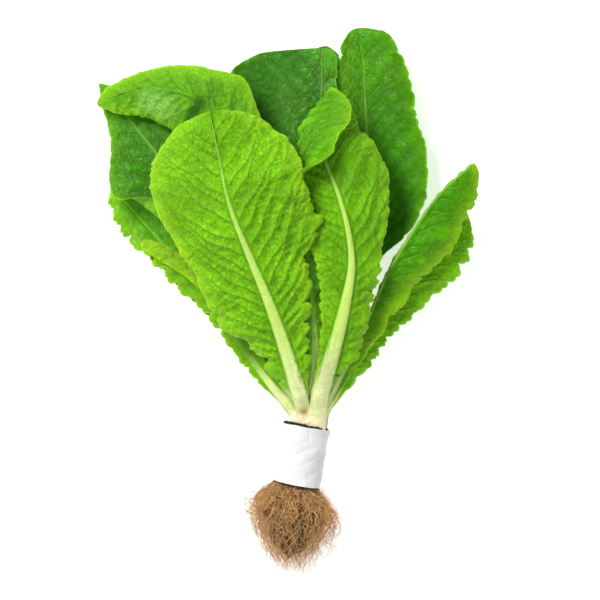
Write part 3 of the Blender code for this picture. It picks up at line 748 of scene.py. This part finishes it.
def sheet_faces(shape):
    """Faces of the two grids, the second after the first, and of the rim between them."""
    count = shape[0] * shape[1]
    index = np.arange(count).reshape(shape)
    a, b, c, d = (part.ravel() for part in (index[:-1, :-1], index[:-1, 1:], index[1:, 1:], index[1:, :-1]))
    first = np.stack([a, b, c, d], axis=1)
    rim = np.concatenate([index[0, :-1], index[:-1, -1], index[-1, :0:-1], index[:0:-1, 0]])
    after = np.roll(rim, -1)
    rim_faces = np.stack([after, rim, rim + count, after + count], axis=1)
    return np.concatenate([first, first[:, ::-1] + count, rim_faces])


def quick_mesh(name, points, faces, looks, flat=None):
    """A smooth mesh object from arrays in millimetres, with a float attribute for each look."""
    mesh = bpy.data.meshes.new(name)
    sides = faces.shape[1]
    mesh.vertices.add(len(points))
    mesh.vertices.foreach_set("co", (points * MM).astype(np.float32).ravel())
    mesh.loops.add(faces.size)
    mesh.loops.foreach_set("vertex_index", faces.astype(np.int32).ravel())
    mesh.polygons.add(len(faces))
    mesh.polygons.foreach_set("loop_start", (np.arange(len(faces)) * sides).astype(np.int32))
    mesh.update(calc_edges=True)
    mesh.validate()
    mesh.shade_smooth()
    for key, values in looks.items():
        layer = mesh.attributes.new(key, "FLOAT", "POINT")
        layer.data.foreach_set("value", values.astype(np.float32))
    if flat is not None:
        layer = mesh.attributes.new("flat", "FLOAT_VECTOR", "POINT")
        layer.data.foreach_set("vector", flat.astype(np.float32).ravel())
    made = bpy.data.objects.new(name, mesh)
    bpy.context.scene.collection.objects.link(made)
    return made


def settle(made, material, node):
    """The piece gets its material, goes over the CAD model, rides with it and stands for its node."""
    made.data.materials.append(material)
    made.location = SHIFT
    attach(made, "root")
    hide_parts(node)


def add_leaf(leaf):
    shape, outer, inner, looks, flat = fine_leaf(leaf)
    inner_above = leaf.up == "inner"
    points = np.concatenate([inner, outer] if inner_above else [outer, inner])
    both = {key: np.tile(values, 2) for key, values in looks.items()}
    both["inside"] = np.repeat([1.0, 0.0] if inner_above else [0.0, 1.0], len(outer))
    made = quick_mesh(leaf.name + "_fine", points, sheet_faces(shape), both, np.tile(flat, (2, 1)))
    settle(made, leaf_material(leaf), leaf.name)


# ---- materials ----


class Nodes:
    """Builds one material's node tree. A value may be a number, a colour or another node's output."""

    def __init__(self, name):
        self.material = bpy.data.materials.new(name)
        self.material.use_nodes = True
        self.tree = self.material.node_tree
        self.shader = self.tree.nodes["Principled BSDF"]
        self.where = self.add("TexCoord", {}).outputs["Object"]

    def put(self, socket, value):
        if isinstance(value, bpy.types.NodeSocket):
            self.tree.links.new(value, socket)
        elif isinstance(value, tuple) and len(value) == 3 and socket.type == "RGBA":
            socket.default_value = (*value, 1)
        else:
            socket.default_value = value

    def add(self, kind, inputs, **settings):
        """A new node. Its settings come first, as they decide which inputs it has."""
        node = self.tree.nodes.new("ShaderNode" + kind)
        for key, value in settings.items():
            setattr(node, key, value)
        for key, value in inputs.items():
            self.put(node.inputs[key], value)
        return node

    def attribute(self, name, output="Fac"):
        return self.add("Attribute", {}, attribute_name=name).outputs[output]

    def math(self, what, a, b):
        return self.add("Math", {0: a, 1: b}, operation=what).outputs[0]

    def times(self, a, b):
        return self.math("MULTIPLY", a, b)

    def mix(self, share, a, b, blend="MIX"):
        inputs = {"Factor": share, "A": a, "B": b}
        return self.add("Mix", inputs, data_type="RGBA", blend_type=blend).outputs["Result"]

    def mix_value(self, share, a, b):
        return self.add("Mix", {"Factor": share, "A": a, "B": b}).outputs["Result"]

    def tinted(self, colour, share, strength, tint):
        """The colour with a tint over it, as strong as the share times the strength."""
        return self.mix(self.times(share, strength), colour, tint)

    def ranged(self, value, low, high, new_low=0.0, new_high=1.0):
        inputs = dict(enumerate((value, low, high, new_low, new_high)))
        return self.add("MapRange", inputs, interpolation_type="SMOOTHSTEP").outputs[0]

    def noise(self, where, scale, detail=3.0, roughness=0.55, distortion=0.0, output="Fac"):
        inputs = {"Vector": where, "Scale": scale, "Detail": detail, "Roughness": roughness}
        return self.add("TexNoise", {**inputs, "Distortion": distortion}).outputs[output]

    def spots(self, scale, detail, low, high, new_low=0.0, new_high=1.0):
        """Noise over the object, with its part from low to high spread out."""
        return self.ranged(self.noise(self.where, scale, detail), low, high, new_low, new_high)

    def cells(self, where, scale, feature="DISTANCE_TO_EDGE"):
        return self.add("TexVoronoi", {"Vector": where, "Scale": scale}, feature=feature).outputs["Distance"]

    def bump(self, height, strength, distance, below=None):
        inputs = {"Strength": strength, "Distance": distance, "Height": height}
        if below is not None:
            inputs["Normal"] = below
        return self.add("Bump", inputs).outputs["Normal"]

    def finish(self, colour, roughness, normal=None, **fixed):
        self.put(self.shader.inputs["Base Color"], colour)
        self.put(self.shader.inputs["Roughness"], roughness)
        if normal is not None:
            self.put(self.shader.inputs["Normal"], normal)
        for key, value in fixed.items():
            self.put(self.shader.inputs[key.replace("_", " ")], value)
        return self.material


CREAM = srgb(246, 254, 186)
PALE_RIB = srgb(206, 242, 118)
STALK_GREEN = srgb(180, 232, 84)
STALK_FOOT = srgb(246, 234, 186)
STAIN_BROWN = srgb(160, 122, 4)


def shade(colour, factor):
    return tuple(part * factor for part in colour)


def blade_colours(n, leaf):
    """The outer and the inner face, with painted shade along the veins and in the hollows between them,
    painted light on the rises, and pale lines on the inner face.
    """
    vein = n.attribute("vein")
    minor = n.attribute("minor")
    bulge = n.attribute("bulge")
    outer = n.mix(n.spots(30, 2, 0.35, 0.7), shade(leaf.outer, 0.8), shade(leaf.outer, 1.14))
    # Painted light on the rises of the outer face and painted shade in its hollows.
    outer = n.mix(n.ranged(bulge, 0.05, 0.85), n.mix(1.0, outer, (1.14, 1.08, 1.3), "MULTIPLY"), outer)
    outer = n.mix(n.ranged(bulge, 0.4, 1.1, 0.0, 0.45), outer, shade(leaf.outer, 0.66))
    # Painted shade along the veins and the finer veins.
    outer = n.tinted(outer, n.ranged(vein, 0.12, 0.6), 0.55, shade(leaf.outer, 0.4))
    outer = n.tinted(outer, minor, 0.6, shade(leaf.outer, 0.42))
    # Painted shade in a band along each side of the raised midrib.
    outer = n.tinted(outer, n.attribute("beside"), 0.5, shade(leaf.outer, 0.45))

    inner = n.mix(n.spots(34, 2, 0.35, 0.7), shade(leaf.inner, 0.78), shade(leaf.inner, 1.2))
    # Painted shade in the hollows of the inner face and painted light on its swellings.
    inner = n.mix(n.ranged(bulge, 0.0, 0.8, 0.45, 0.0), inner, shade(leaf.inner, 0.45))
    inner = n.mix(n.ranged(bulge, 0.6, 1.2, 0.0, 0.4), inner, shade(leaf.inner, 1.3))
    # Painted shade in the furrows beside the veins of the inner face.
    furrow_shade = n.times(n.ranged(vein, 0.08, 0.4), n.ranged(vein, 0.95, 0.55))
    inner = n.tinted(inner, furrow_shade, 0.5, shade(leaf.inner, 0.5))
    inner = n.tinted(inner, n.ranged(vein, 0.35, 0.8), 0.5, shade(leaf.margin, 1.1))
    # Painted shade along the finer veins.
    return outer, n.tinted(inner, minor, 0.4, shade(leaf.inner, 0.45))


def with_midrib(n, leaf, colour, flat, along, inside):
    """The colour with the midrib over it, from the white stalk to a pale green line near the tip."""
    streaks = n.noise(n.mix(1.0, flat, (0.03, 1.4, 1.0), "MULTIPLY"), 2.2, 3)
    stalk = n.mix(n.ranged(along, 0.0, 0.34), CREAM, PALE_RIB)
    stalk = n.tinted(stalk, n.ranged(streaks, 0.45, 0.75), 0.3, STALK_GREEN)
    round_rib = n.attribute("rib")
    # The stalk's flanks turn darker green: partly their own greener colour, partly painted shade of the
    # stalk's round.
    greener_shaded_flank = n.ranged(round_rib, 0.9, 0.45, 0.0, 0.75)
    stalk = n.tinted(stalk, greener_shaded_flank, n.ranged(along, 0.4, 0.1), shade(STALK_GREEN, 0.5))
    stalk = n.mix(n.ranged(along, 0.02, -0.03), stalk, STALK_FOOT)
    stalk = n.mix(n.attribute("stain"), stalk, STAIN_BROWN)
    held = n.ranged(along, leaf.rib_fade[0], leaf.rib_fade[1], 1.0, leaf.rib_fade[2])
    inner_held = n.times(held, n.ranged(along, 0.2, 0.5, 1.0, 0.55))
    colour = n.tinted(colour, n.ranged(along, 0.13, 0.03), 0.8, STALK_GREEN)
    return n.tinted(colour, n.ranged(round_rib, 0.12, 0.7), n.mix_value(inside, held, inner_held), stalk)


def leaf_material(leaf):
    n = Nodes(leaf.name + "_looks")
    flat = n.attribute("flat", "Vector")
    inside = n.attribute("inside")
    along = n.attribute("along")
    patch = n.attribute("patch")
    colour = n.mix(inside, *blade_colours(n, leaf))
    # Painted light in the pale colour where the leaf is lit, and painted shade, dark green, where it lies in
    # shade.
    colour = n.mix(n.ranged(patch, 0, 1), colour, leaf.pale)
    colour = n.mix(n.ranged(patch, 0, -1), colour, shade(leaf.inner, 0.3))

    # The finest net of veins, with painted shade in the fine furrows along its lines. It gives bumps as well.
    swayed = n.mix(0.5, flat, n.noise(flat, 0.3, 2.0, 0.5, output="Color"), "ADD")
    fine_net = n.ranged(n.cells(swayed, 0.45), 0.02, 0.1)
    net = n.math("MINIMUM", fine_net, n.ranged(n.cells(swayed, 0.17), 0.012, 0.05))
    net_shade_share = n.ranged(along, 0.1, 0.3, 0.0, 0.34)
    colour = n.tinted(colour, n.math("SUBTRACT", 1.0, net), net_shade_share, shade(leaf.inner, 0.5))

    # Towards the margin the blade is younger and yellower, with a thin pale rim.
    colour = n.tinted(colour, n.attribute("glow"), leaf.glow, leaf.margin)
    colour = n.tinted(colour, n.attribute("edge"), 0.7, shade(leaf.margin, 1.15))
    colour = with_midrib(n, leaf, colour, flat, along, inside)

    relief = n.math("ADD", net, n.times(n.noise(n.where, 420, 4), 0.8))
    normal = n.bump(relief, 0.6, 0.0006)
    normal = n.bump(n.noise(n.where, 160, 3), 0.6, 0.0016, normal)
    uneven = n.noise(n.where, 60, 3)
    rough = n.mix_value(inside, n.ranged(uneven, 0.3, 0.7, 0.5, 0.64), n.ranged(uneven, 0.3, 0.7, 0.36, 0.55))
    return n.finish(colour, rough, normal, Subsurface_Weight=0.1, Subsurface_Radius=(0.5, 1.0, 0.1),
                    Subsurface_Scale=0.003, Specular_IOR_Level=leaf.shine)


def crown_material():
    n = Nodes("crown_looks")
    cream = n.mix(n.spots(90, 3, 0.35, 0.7), srgb(250, 247, 214), srgb(226, 232, 170))
    pink = n.mix(n.spots(140, 3, 0.4, 0.7), cream, srgb(240, 218, 190))
    pink = n.mix(n.attribute("spot"), pink, srgb(176, 140, 60))
    normal = n.bump(n.noise(n.where, 260, 4), 0.35, 0.0008)
    return n.finish(pink, n.spots(120, 3, 0.3, 0.7, 0.4, 0.6), normal, Subsurface_Weight=0.15,
                    Subsurface_Radius=(1.0, 0.8, 0.4), Subsurface_Scale=0.003)


def peat_material(name, dark, light):
    n = Nodes(name)
    grains = n.noise(n.where, 700, 6, 0.7)
    colour = n.mix(n.ranged(grains, 0.35, 0.7), dark, light)
    colour = n.mix(n.ranged(n.cells(n.where, 900, "F1"), 0.2, 0.6), colour, shade(dark, 0.5))
    return n.finish(colour, 0.95, n.bump(grains, 0.9, 0.0015))


def paper_material():
    n = Nodes("paper_looks")
    white = n.mix(n.spots(60, 3, 0.3, 0.75), srgb(238, 238, 238), srgb(226, 228, 229))
    fibres = n.noise(n.where, 900, 5, 0.7, 1.5)
    white = n.mix(n.ranged(fibres, 0.55, 0.8, 0.0, 0.25), white, srgb(205, 208, 202))
    white = n.mix(n.spots(45, 2, 0.55, 0.8, 0.0, 0.25), white, srgb(214, 214, 200))
    normal = n.bump(n.noise(n.where, 260, 5, 0.65), 0.45, 0.0008)
    return n.finish(white, 0.78, n.bump(fibres, 0.25, 0.0003, normal))


def root_material():
    n = Nodes("root_looks")
    tan = n.mix(n.attribute("tint"), srgb(236, 190, 126), srgb(176, 128, 72))
    tan = n.mix(n.spots(200, 3, 0.5, 0.8), tan, srgb(134, 92, 48))
    tan = n.mix(n.spots(900, 3, 0.5, 0.7, 0.0, 0.5), tan, srgb(222, 184, 134))
    return n.finish(tan, 0.8, n.bump(n.noise(n.where, 1500, 3), 0.5, 0.0003))


# ---- crown, plug, sleeve and roots ----

FULL_TURN = 2 * math.pi
AXIS_X = -math.sin(ROOT_LEAN)
AXIS_Y = math.cos(ROOT_LEAN)
ON_AXIS = 0.01
CROWN_PROFILE = [(ON_AXIS, 6.5), (6, 6.3), (9.5, 4.5), (11.8, 1), (12.4, -2), (12, -4), (9, -6.5), (6, -11),
                 (ON_AXIS, -11)]
SPOT_TURN = math.radians(112)
PLUG_FOOT = PLUG_TOP - PLUG_LENGTH
PLUG_PROFILE = [(ON_AXIS, PLUG_TOP - 1.5), (8, PLUG_TOP - 0.8), (13.5, PLUG_TOP + 0.8), (16, PLUG_TOP + 0.3),
                (16.4, PLUG_TOP - 1.5), (16.4, PLUG_FOOT + 3), (15, PLUG_FOOT), (ON_AXIS, PLUG_FOOT)]


def leaning(along, sideways, upwards):
    """Points off the leaning axis that the crown, the plug, the sleeve and the roots share."""
    x = ROOT_END_X + along * AXIS_X + sideways * AXIS_Y
    return np.stack([x, along * AXIS_Y - sideways * AXIS_X, AXIS_HEIGHT + upwards], axis=-1)


def round_axis(radius, along, angle):
    """Points round that axis. The angle is 0 to the right and 90 degrees upwards."""
    return leaning(along, radius * np.cos(angle), radius * np.sin(angle))


def tube_faces(rows, columns):
    """Faces of a grid that closes on itself across its columns."""
    index = np.arange(rows * columns).reshape(rows, columns)
    after = np.roll(index, -1, axis=1)
    return np.stack([index[:-1].ravel(), after[:-1].ravel(), after[1:].ravel(), index[1:].ravel()], axis=1)


def turned(rows, steps):
    """The rows' values repeated round the axis, and the angle at each step."""
    return np.meshgrid(rows, np.linspace(0, FULL_TURN, steps, endpoint=False), indexing="ij")


def revolved(name, stations, rows, steps, wobble, looks=None):
    """A closed turned form through (radius, along) pairs, its radius changed by wobble(along, angle)."""
    stations = np.array(stations, float)
    at = distances(stations)
    evenly = np.linspace(0, at[-1], rows)
    radius, turn = turned(np.interp(evenly, at, stations[:, 0]), steps)
    along, _ = turned(np.interp(evenly, at, stations[:, 1]), steps)
    radius, turn, along = (part.ravel() for part in (radius, turn, along))
    points = round_axis(radius + wobble(along, turn) * smooth_step(0, 4, radius), along, turn)
    return quick_mesh(name, points, tube_faces(rows, steps), looks(along, turn) if looks else {})


def turned_noise(along, turn, scale, seed):
    """Noise that closes on itself round the axis."""
    x = np.cos(turn) * scale
    y = np.sin(turn) * scale
    first = noise(x + 20, y + along * 0.35, seed)
    return 0.5 * first + 0.5 * noise(y + 40, along * 0.35 - x, seed + 1)


def add_crown():
    def wobble(along, turn):
        folds = 0.55 * np.sin(5 * turn + 0.9 + along * 0.05) + 0.35 * np.sin(9 * turn + 2.0)
        return folds * smooth_step(-5, 0, along) + 0.35 * turned_noise(along, turn, 2.5, 3)

    def looks(along, turn):
        gap = np.hypot((turn - SPOT_TURN) * 9, along - 2)
        return {"spot": np.exp(-((gap / 2.6) ** 2))}

    made = revolved("crown_fine", CROWN_PROFILE, 70, 150, wobble, looks)
    settle(made, crown_material(), "crown")


def add_plug():
    """The plug of peat, with crumbs over its top."""

    def wobble(along, turn):
        crumbs = 0.9 * turned_noise(along * 3, turn, 9, 21) + 0.5 * turned_noise(along * 6, turn, 21, 23)
        return np.where(along > PLUG_TOP - 1, crumbs, -0.3 + 0.25 * crumbs)

    made = revolved("growing_plug_fine", PLUG_PROFILE, 110, 240, wobble)
    corners = made.data.vertices
    co = np.empty(len(corners) * 3, np.float32)
    corners.foreach_get("co", co)
    co = co.reshape(-1, 3)
    near_top = smooth_step((PLUG_TOP - 3) * MM, (PLUG_TOP - 0.5) * MM, co[:, 1])
    crumbs = near_top * 0.9 * MM * noise(co[:, 0] / MM * 1.1, co[:, 2] / MM * 1.1, 31)
    co[:, 1] += crumbs.astype(np.float32)
    corners.foreach_set("co", co.ravel())
    settle(made, peat_material("peat_looks", srgb(62, 42, 26), srgb(120, 84, 52)), "growing_plug")


SLEEVE_TOP = PLUG_TOP - 1
SLEEVE_WALL = 0.35
SLEEVE_INSET = 0.45
SLEEVE_REST = 0.02
LAP_TURN = math.radians(38)
LAP_FADE = 1.4
CREASES = 44


def creases(along, turn):
    """How far small folds, each on a line of its own, push the paper out or in."""
    pushed = np.zeros_like(turn)
    rng = np.random.default_rng(7)
    for _ in range(CREASES):
        centre_turn = rng.uniform(0, FULL_TURN)
        centre = SLEEVE_TOP - rng.uniform(0, SLEEVE_LENGTH)
        lean = rng.uniform(-1.1, 1.1)
        size = rng.uniform(5, 13)
        dx = (np.mod(turn - centre_turn + math.pi, FULL_TURN) - math.pi) * SLEEVE_RADIUS
        dy = along - centre
        line = dx * math.cos(lean) - dy * math.sin(lean)
        run = dx * math.sin(lean) + dy * math.cos(lean)
        pushed += rng.uniform(-0.6, 0.45) * np.exp(-np.abs(line)) * np.exp(-((run / size) ** 2))
    return pushed


def add_sleeve():
    """The paper tube, with creases, slightly uneven ends and a lap where its ends are glued."""
    steps, rows = ((380, 125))
    share, turn = turned(np.linspace(0, 1, rows), steps)
    uneven_top = 0.5 * noise(np.cos(turn) * 2 + 3, np.sin(turn) * 2, 51)
    uneven_low = 0.6 * noise(np.cos(turn) * 2 + 9, np.sin(turn) * 2, 52)
    along = SLEEVE_TOP + uneven_top * (1 - share) - share * SLEEVE_LENGTH + uneven_low * share
    past = np.mod(turn - (LAP_TURN - share * 0.1), FULL_TURN)
    lap = 0.5 * smooth_step(0.0, 0.03, past) * smooth_step(FULL_TURN, FULL_TURN - LAP_FADE, past)
    soft = 0.8 * turned_noise(along * 0.5, turn, 2.2, 61)
    flare = 0.25 * (smooth_step(0.12, 0, share) + smooth_step(0.9, 1, share))
    radius = SLEEVE_RADIUS - SLEEVE_INSET + lap * 0.6 + creases(along, turn) + soft + flare
    outer = round_axis(radius, along, turn).reshape(-1, 3)
    inner = round_axis(radius - SLEEVE_WALL, along, turn).reshape(-1, 3)
    outer[:, 2] = np.maximum(outer[:, 2], SLEEVE_REST)
    inner[:, 2] = np.maximum(inner[:, 2], SLEEVE_REST + SLEEVE_WALL * 0.5)
    faces = tube_faces(rows, steps)
    count = rows * steps
    top = np.arange(steps)
    top_next = np.roll(top, -1)
    low, low_next = (ring + (rows - 1) * steps for ring in (top, top_next))
    top_rim = np.stack([top, top + count, top_next + count, top_next], axis=1)
    low_rim = np.stack([low, low_next, low_next + count, low + count], axis=1)
    faces = np.concatenate([faces, faces[:, ::-1] + count, top_rim, low_rim])
    made = quick_mesh("paper_sleeve_fine", np.concatenate([outer, inner]), faces, {})
    settle(made, paper_material(), "paper_sleeve")


ROOT_TOP = PLUG_FOOT + 1.5
STRAND_SIDES = 5
STRANDS = 680
STRAND_POINTS = 30
HAIR_POINTS = 22
STRAND_REST = 0.03
TINT_SPREAD = 977.3


def root_width(depth):
    """Share of the root mass's full width, from its neck at depth 0 to its lowest tips at 1."""
    flare = ROOT_NECK + (1 - ROOT_NECK) * smooth_step(0, ROOT_WIDEST, depth)
    taper = 1 - (1 - ROOT_END) * np.clip((depth - ROOT_WIDEST) / (1 - ROOT_WIDEST), 0, 1) ** 1.3
    return flare * taper


def root_line(rng, reach, length, points, straying):
    """One root from the plug's foot: it spreads, sways and comes in again towards the tips."""
    share = np.linspace(0, 1, points)
    turn = rng.uniform(0, FULL_TURN)
    inset = reach * math.sqrt(rng.uniform(0.02, 1))
    depth = share * length
    width = root_width(np.clip(depth, 0, 1))
    sway = rng.uniform(0, 6.3, 4)
    slow = smooth_step(0, 0.25, share) * (rng.uniform(0.6, 1.6) * straying)
    stray = smooth_step(0.1, 1, share) * straying
    aside = np.cos(turn) * inset * width * ROOT_WIDTH + depth * ROOT_DRIFT + stray * rng.normal(0, 4.5)
    height = np.sin(turn) * inset * width * ROOT_HEIGHT * 0.92 + stray * rng.normal(0, 3.0)
    waves = 2.6 * np.sin(share * rng.uniform(5, 14) + sway[0]) + 1.1 * np.sin(share * 27 + sway[1])
    aside = aside + slow * waves
    waves = 2.2 * np.sin(share * rng.uniform(5, 14) + sway[2]) + 1.0 * np.sin(share * 25 + sway[3])
    height = height + slow * waves
    along = ROOT_TOP - depth * (ROOT_LENGTH + 1) + slow * 1.2 * np.sin(share * 17 + sway[1])
    return leaning(along, aside, height)


def strands(name, lines, widths):
    """Thin tapering tubes along the lines, as one mesh."""
    points = []
    faces = []
    tint = []
    turn = np.linspace(0, FULL_TURN, STRAND_SIDES, endpoint=False)
    for number, (line, width) in enumerate(zip(lines, widths)):
        along = unit(np.gradient(line, axis=0), NO_LENGTH)
        side = unit(np.cross(along, [0.3, 0.2, 1.0]), NO_LENGTH)
        up = np.cross(side, along)
        share = np.linspace(0, 1, len(line))
        ends = smooth_step(0, 0.02, share + 0.001) * smooth_step(1.001, 0.97, share)
        radius = width * (1 - 0.75 * share**1.5) * ends
        ring = side[:, None] * np.cos(turn)[None, :, None] + up[:, None] * np.sin(turn)[None, :, None]
        tube = line[:, None] + ring * radius[:, None, None]
        tube[..., 2] = np.maximum(tube[..., 2], STRAND_REST)
        count = len(line) * STRAND_SIDES
        points.append(tube.reshape(-1, 3))
        faces.append(tube_faces(len(line), STRAND_SIDES)[:, ::-1] + number * count)
        tint.append(np.full(count, (width * TINT_SPREAD) % 1))
    return quick_mesh(name, np.concatenate(points), np.concatenate(faces), {"tint": np.concatenate(tint)})


def add_roots():
    """The roots: strands, and finer hairs that stray further out."""
    rng = np.random.default_rng(91)
    lines = []
    widths = []
    for _ in range(STRANDS):
        reach = 0.75 if rng.uniform() < 0.4 else 1.0
        lines.append(root_line(rng, reach, rng.uniform(0.4, 1.04), STRAND_POINTS, 1.25))
        widths.append(rng.uniform(0.14, 0.42))
    fine_lines = [root_line(rng, 1.06, rng.uniform(0.2, 1.0), HAIR_POINTS, 1.8) for _ in range(STRANDS)]
    fine_widths = rng.uniform(0.06, 0.14, STRANDS)
    material = root_material()
    settle(strands("root_strands", lines, widths), material, "root_mass")
    settle(strands("root_hairs", fine_lines, fine_widths), material, "root_mass")


def add_root_core():
    """The dark lump of peat and packed roots inside the strands."""
    rows, steps = 60, 90
    depth, turn = turned(np.linspace(0, 1, rows), steps)
    width = root_width(depth) * smooth_step(1.0, 0.8, depth) * 0.7 + 0.001
    lumps = 1 + 0.22 * turned_noise(depth * 40, turn, 3.5, 71)
    aside = np.cos(turn) * width * ROOT_WIDTH * lumps + depth * ROOT_DRIFT
    height = np.maximum(np.sin(turn) * width * ROOT_HEIGHT * lumps, -AXIS_HEIGHT + 1.5)
    points = leaning(ROOT_TOP - depth * ROOT_LENGTH * 0.9, aside, height).reshape(-1, 3)
    made = quick_mesh("root_core", points, tube_faces(rows, steps), {})
    settle(made, peat_material("core_looks", srgb(66, 44, 24), srgb(132, 92, 52)), "root_mass")


# ---- stage, light and camera ----

FRAME_CENTRE = (-7, 84)
FRAME_WIDTH = 0.42
FRAME_HEIGHT = 0.045
LENS = 500
SENSOR = 36
FLOOR_SIZE = 12
FLOOR_DROP = 0.0004
WHITE = (1, 1, 1)
WORLD_LIGHT = 0.2
# Each lamp's name, place, size across and power.
LAMPS = [
    ("key", (-0.8, 0.9, 1.7), 0.8, 42),
    ("fill", (0.4, -1.4, 1.6), 1.0, 11),
    ("top", (0.1, 0.1, 2.4), 2.2, 3),
]


def add_stage():
    bpy.ops.mesh.primitive_plane_add(size=FLOOR_SIZE, location=(0, 0, -FLOOR_DROP))
    floor = bpy.context.object
    floor.name = "floor"
    n = Nodes("floor_looks")
    glow = {"Emission_Color": WHITE, "Emission_Strength": 0.62}
    floor.data.materials.append(n.finish((0.94, 0.94, 0.94), 0.9, Specular_IOR_Level=0.0, **glow))


def add_lights():
    for name, place, size, power in LAMPS:
        lamp = bpy.data.lights.new(name, "AREA")
        lamp.shape = "DISK"
        lamp.size = size
        lamp.energy = power
        made = bpy.data.objects.new(name, lamp)
        made.location = place
        made.rotation_euler = (-Vector(place)).to_track_quat("-Z", "Y").to_euler()
        bpy.context.scene.collection.objects.link(made)
    world = bpy.data.worlds.new("room")
    world.use_nodes = True
    background = world.node_tree.nodes["Background"]
    background.inputs["Color"].default_value = (*WHITE, 1)
    background.inputs["Strength"].default_value = WORLD_LIGHT
    bpy.context.scene.world = world


def add_camera():
    camera = bpy.data.cameras.new("camera")
    camera.lens = LENS
    camera.sensor_width = SENSOR
    away = FRAME_WIDTH * LENS / SENSOR
    made = bpy.data.objects.new("camera", camera)
    made.location = (SHIFT[0] + FRAME_CENTRE[0] * MM, SHIFT[1] + FRAME_CENTRE[1] * MM, FRAME_HEIGHT + away)
    bpy.context.scene.collection.objects.link(made)
    bpy.context.scene.camera = made
    bpy.context.scene.view_settings.view_transform = "Standard"


# ---- the whole ----

# The CAD model stands over the origin of its frame. The sleeve is alike at both ends, so its box's centre is
# its own, and that gives the shift from the tables to the frame.
SLEEVE_LOW, SLEEVE_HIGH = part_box("paper_sleeve")
SLEEVE_MIDDLE = leaning(SLEEVE_TOP - SLEEVE_LENGTH / 2, 0.0, 0.0)
SHIFT = Vector(
    (
        (SLEEVE_LOW.x + SLEEVE_HIGH.x) / 2 - SLEEVE_MIDDLE[0] * MM,
        (SLEEVE_LOW.y + SLEEVE_HIGH.y) / 2 - SLEEVE_MIDDLE[1] * MM,
        0,
    )
)

add_camera()
add_stage()
add_lights()
add_crown()
add_plug()
add_sleeve()
add_roots()
add_root_core()
PILE = Pile()
for each in LEAVES:
    lay(each, PILE)
for number, each in enumerate(LEAVES):
    each.seed = FIRST_SEED + number
    add_leaf(each)

bpy.context.view_layer.update()
